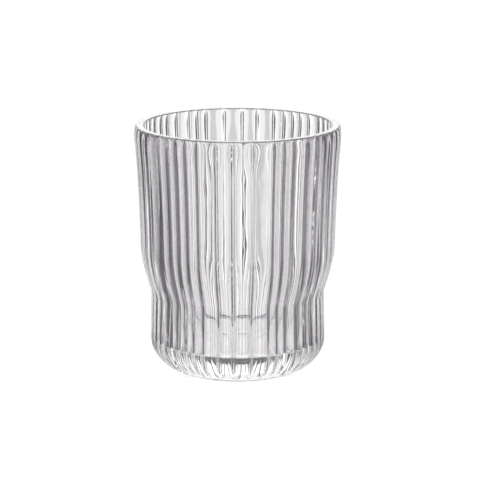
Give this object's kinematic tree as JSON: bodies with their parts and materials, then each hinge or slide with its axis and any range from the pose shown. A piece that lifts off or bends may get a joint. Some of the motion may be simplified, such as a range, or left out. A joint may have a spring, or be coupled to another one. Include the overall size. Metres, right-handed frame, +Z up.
{
  "type": "drinking glass",
  "caption": "Clear pressed-glass tumbler with uneven vertical flutes outside, a smooth inside, a flat-topped lip, a shoulder that steps in to a narrower lower body, and a thick rounded base.",
  "frame": {"origin": "centre of the foot, on the surface that the glass stands on", "axes": "+Z up along the glass's axis, through the open mouth; -Y is the front, the side that the picture shows"},
  "size_m": [0.0822, 0.0822, 0.1],
  "materials": {
    "clear_glass": "clear, colourless, fire-polished pressed soda-lime glass"
  },
  "bodies": {
    "root": {"tumbler": "clear_glass"}
  },
  "joints": []
}
